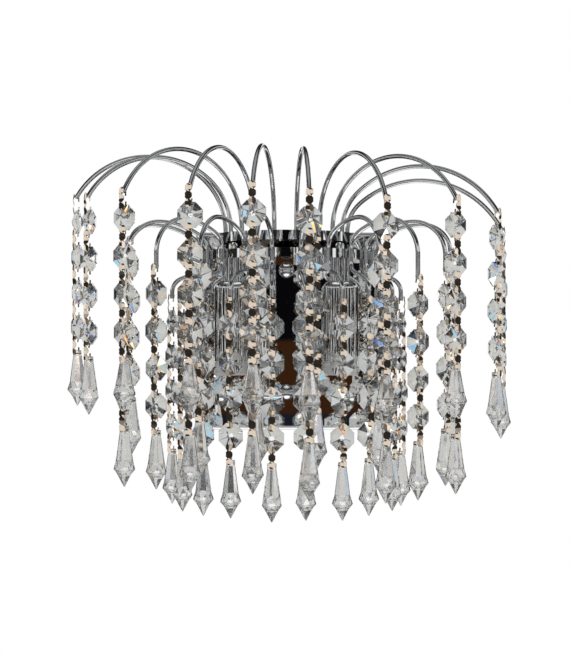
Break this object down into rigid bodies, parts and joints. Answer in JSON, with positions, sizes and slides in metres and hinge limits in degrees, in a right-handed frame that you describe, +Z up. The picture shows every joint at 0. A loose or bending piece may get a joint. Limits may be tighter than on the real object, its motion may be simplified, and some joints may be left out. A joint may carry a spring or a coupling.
{
  "type": "crystal wall sconce",
  "caption": "Mirror-chrome wall sconce with a stepped half-round crown of bowed wires, hanging cut-crystal strands and downward screw lampholders.",
  "frame": {"origin": "centre of the backplate, on the wall", "axes": "+Z up, +X to the right as seen from the room, +Y into the wall, so -Y points out into the room"},
  "size_m": [0.3029, 0.1705, 0.2448],
  "materials": {
    "mirror_chrome": "mirror-bright chrome plating on pressed steel",
    "bright_chrome": "bright chrome plating on turned and drawn parts",
    "wire_chrome": "bright chrome plating on 3 mm steel rod",
    "zinc_steel": "dull zinc plating",
    "nickel": "warm nickel plating, satin",
    "brass": "plain turned brass",
    "crystal": "clear cut and polished lead crystal",
    "clear_plastic": "clear moulded plastic, ribbed",
    "holder_plastic": "off-white heat-resisting moulding",
    "block_plastic": "pale grey moulding",
    "black_rubber": "soft black rubber",
    "lead_sleeving": "pale silicone sleeving",
    "earth_sleeving": "green and yellow sleeving"
  },
  "bodies": {
    "lamp_frame": {"backplate": "mirror_chrome", "lower_tray": "mirror_chrome", "upper_cap": "mirror_chrome", "domed_nuts": "bright_chrome", "nut_washers": "bright_chrome", "holder_sleeves": "bright_chrome", "holder_spacers": "bright_chrome", "upper_wires_left": "wire_chrome", "upper_wires_right": "wire_chrome", "lower_wires_left": "wire_chrome", "lower_wires_right": "wire_chrome", "wall_strap": "zinc_steel", "strap_studs": "zinc_steel", "stud_lock_nuts": "zinc_steel", "lampholder_nipples": "zinc_steel", "nipple_nuts": "zinc_steel", "crown_screws": "nickel", "crown_nuts": "nickel", "upper_wire_nuts": "nickel", "terminal_block": "block_plastic", "holder_bodies": "holder_plastic", "terminal_screws": "brass", "earth_screw": "brass", "screw_shells": "brass", "centre_contacts": "brass", "clear_collars": "clear_plastic", "cable_grommet": "black_rubber", "lead_grommets": "black_rubber", "lamp_leads": "lead_sleeving", "earth_lead": "earth_sleeving"},
    "inner_strand_01": {"inner_strand_01": "crystal"},
    "inner_strand_02": {"inner_strand_02": "crystal"},
    "inner_strand_03": {"inner_strand_03": "crystal"},
    "inner_strand_04": {"inner_strand_04": "crystal"},
    "inner_strand_05": {"inner_strand_05": "crystal"},
    "inner_strand_06": {"inner_strand_06": "crystal"},
    "inner_strand_07": {"inner_strand_07": "crystal"},
    "inner_strand_08": {"inner_strand_08": "crystal"},
    "inner_strand_09": {"inner_strand_09": "crystal"},
    "inner_strand_10": {"inner_strand_10": "crystal"},
    "middle_strand_01": {"middle_strand_01": "crystal"},
    "middle_strand_02": {"middle_strand_02": "crystal"},
    "middle_strand_03": {"middle_strand_03": "crystal"},
    "middle_strand_04": {"middle_strand_04": "crystal"},
    "middle_strand_05": {"middle_strand_05": "crystal"},
    "middle_strand_06": {"middle_strand_06": "crystal"},
    "middle_strand_07": {"middle_strand_07": "crystal"},
    "middle_strand_08": {"middle_strand_08": "crystal"},
    "middle_strand_09": {"middle_strand_09": "crystal"},
    "middle_strand_10": {"middle_strand_10": "crystal"},
    "outer_strand_01": {"outer_strand_01": "crystal"},
    "outer_strand_02": {"outer_strand_02": "crystal"},
    "outer_strand_03": {"outer_strand_03": "crystal"},
    "outer_strand_04": {"outer_strand_04": "crystal"},
    "outer_strand_05": {"outer_strand_05": "crystal"},
    "outer_strand_06": {"outer_strand_06": "crystal"},
    "outer_strand_07": {"outer_strand_07": "crystal"},
    "outer_strand_08": {"outer_strand_08": "crystal"},
    "outer_strand_09": {"outer_strand_09": "crystal"},
    "outer_strand_10": {"outer_strand_10": "crystal"}
  },
  "joints": [
    {"name": "inner_strand_01_swing", "type": "hinge", "parent": "lamp_frame", "child": "inner_strand_01", "pos_m": [-0.07898, -0.03451, 0.02435], "axis": [-0.9877, -0.1564, 0], "range_deg": [-5.5, 5.5]},
    {"name": "inner_strand_02_swing", "type": "hinge", "parent": "lamp_frame", "child": "inner_strand_02", "pos_m": [-0.06985, -0.06062, 0.02235], "axis": [-0.8192, -0.5736, 0], "range_deg": [-4.5, 4.5]},
    {"name": "inner_strand_03_swing", "type": "hinge", "parent": "lamp_frame", "child": "inner_strand_03", "pos_m": [-0.05477, -0.08011, 0.02185], "axis": [-0.6157, -0.788, 0], "range_deg": [-3, 3]},
    {"name": "inner_strand_04_swing", "type": "hinge", "parent": "lamp_frame", "child": "inner_strand_04", "pos_m": [-0.0363, -0.09325, 0.02185], "axis": [-0.454, -0.891, 0], "range_deg": [-3, 3]},
    {"name": "inner_strand_05_swing", "type": "hinge", "parent": "lamp_frame", "child": "inner_strand_05", "pos_m": [-0.00948, -0.10122, 0.02035], "axis": [0, -1, 0], "range_deg": [-3, 3]},
    {"name": "inner_strand_06_swing", "type": "hinge", "parent": "lamp_frame", "child": "inner_strand_06", "pos_m": [0.01251, -0.10098, 0.02135], "axis": [0.1564, -0.9877, 0], "range_deg": [-3, 3]},
    {"name": "inner_strand_07_swing", "type": "hinge", "parent": "lamp_frame", "child": "inner_strand_07", "pos_m": [0.0363, -0.09325, 0.02035], "axis": [0.454, -0.891, 0], "range_deg": [-3, 3]},
    {"name": "inner_strand_08_swing", "type": "hinge", "parent": "lamp_frame", "child": "inner_strand_08", "pos_m": [0.05423, -0.08051, 0.02185], "axis": [0.5878, -0.809, 0], "range_deg": [-3, 3]},
    {"name": "inner_strand_09_swing", "type": "hinge", "parent": "lamp_frame", "child": "inner_strand_09", "pos_m": [0.07125, -0.0583, 0.02235], "axis": [0.891, -0.454, 0], "range_deg": [-4.5, 4.5]},
    {"name": "inner_strand_10_swing", "type": "hinge", "parent": "lamp_frame", "child": "inner_strand_10", "pos_m": [0.07898, -0.03451, 0.02285], "axis": [0.9877, -0.1564, 0], "range_deg": [-4.5, 4.5]},
    {"name": "middle_strand_01_swing", "type": "hinge", "parent": "lamp_frame", "child": "middle_strand_01", "pos_m": [-0.10728, -0.03899, 0.06326], "axis": [-0.9877, -0.1564, 0], "range_deg": [-7, 7]},
    {"name": "middle_strand_02_swing", "type": "hinge", "parent": "lamp_frame", "child": "middle_strand_02", "pos_m": [-0.10277, -0.07437, 0.06169], "axis": [-0.891, -0.454, 0], "range_deg": [-7, 7]},
    {"name": "middle_strand_03_swing", "type": "hinge", "parent": "lamp_frame", "child": "middle_strand_03", "pos_m": [-0.08351, -0.10551, 0.04209], "axis": [-0.7071, -0.7071, 0], "range_deg": [-7, 7]},
    {"name": "middle_strand_04_swing", "type": "hinge", "parent": "lamp_frame", "child": "middle_strand_04", "pos_m": [-0.0543, -0.12858, 0.052], "axis": [-0.454, -0.891, 0], "range_deg": [-7, 7]},
    {"name": "middle_strand_05_swing", "type": "hinge", "parent": "lamp_frame", "child": "middle_strand_05", "pos_m": [-0.01853, -0.13901, 0.05785], "axis": [-0.1564, -0.9877, 0], "range_deg": [-7, 7]},
    {"name": "middle_strand_06_swing", "type": "hinge", "parent": "lamp_frame", "child": "middle_strand_06", "pos_m": [0.01853, -0.13901, 0.05785], "axis": [0.1564, -0.9877, 0], "range_deg": [-7, 7]},
    {"name": "middle_strand_07_swing", "type": "hinge", "parent": "lamp_frame", "child": "middle_strand_07", "pos_m": [0.05842, -0.12546, 0.05309], "axis": [0.5299, -0.848, 0], "range_deg": [-7, 7]},
    {"name": "middle_strand_08_swing", "type": "hinge", "parent": "lamp_frame", "child": "middle_strand_08", "pos_m": [0.08422, -0.10622, 0.03509], "axis": [0.7071, -0.7071, 0], "range_deg": [-7, 7]},
    {"name": "middle_strand_09_swing", "type": "hinge", "parent": "lamp_frame", "child": "middle_strand_09", "pos_m": [0.10523, -0.07562, 0.04109], "axis": [0.891, -0.454, 0], "range_deg": [-7, 7]},
    {"name": "middle_strand_10_swing", "type": "hinge", "parent": "lamp_frame", "child": "middle_strand_10", "pos_m": [0.1127, -0.03985, 0.05609], "axis": [0.9877, -0.1564, 0], "range_deg": [-7, 7]},
    {"name": "outer_strand_01_swing", "type": "hinge", "parent": "lamp_frame", "child": "outer_strand_01", "pos_m": [-0.14296, -0.04464, 0.0925], "axis": [-0.9877, -0.1564, 0], "range_deg": [-8, 8]},
    {"name": "outer_strand_02_swing", "type": "hinge", "parent": "lamp_frame", "child": "outer_strand_02", "pos_m": [-0.12922, -0.08784, 0.08901], "axis": [-0.891, -0.454, 0], "range_deg": [-8, 8]},
    {"name": "outer_strand_03_swing", "type": "hinge", "parent": "lamp_frame", "child": "outer_strand_03", "pos_m": [-0.10188, -0.12388, 0.08912], "axis": [-0.7071, -0.7071, 0], "range_deg": [-8, 8]},
    {"name": "outer_strand_04_swing", "type": "hinge", "parent": "lamp_frame", "child": "outer_strand_04", "pos_m": [-0.05877, -0.15155, 0.08856], "axis": [-0.3746, -0.9272, 0], "range_deg": [-8, 8]},
    {"name": "outer_strand_05_swing", "type": "hinge", "parent": "lamp_frame", "child": "outer_strand_05", "pos_m": [-0.0203, -0.1628, 0.08898], "axis": [-0.1219, -0.9925, 0], "range_deg": [-5.5, 5.5]},
    {"name": "outer_strand_06_swing", "type": "hinge", "parent": "lamp_frame", "child": "outer_strand_06", "pos_m": [0.01364, -0.16356, 0.08466], "axis": [0.0698, -0.9976, 0], "range_deg": [-5.5, 5.5]},
    {"name": "outer_strand_07_swing", "type": "hinge", "parent": "lamp_frame", "child": "outer_strand_07", "pos_m": [0.06047, -0.15145, 0.08194], "axis": [0.3827, -0.9239, 0], "range_deg": [-8, 8]},
    {"name": "outer_strand_08_swing", "type": "hinge", "parent": "lamp_frame", "child": "outer_strand_08", "pos_m": [0.10619, -0.12452, 0.08445], "axis": [0.7145, -0.6997, 0], "range_deg": [-8, 8]},
    {"name": "outer_strand_09_swing", "type": "hinge", "parent": "lamp_frame", "child": "outer_strand_09", "pos_m": [0.13663, -0.09162, 0.07884], "axis": [0.891, -0.454, 0], "range_deg": [-8, 8]},
    {"name": "outer_strand_10_swing", "type": "hinge", "parent": "lamp_frame", "child": "outer_strand_10", "pos_m": [0.1465, -0.0452, 0.07007], "axis": [0.9877, -0.1564, 0], "range_deg": [-8, 8]}
  ]
}
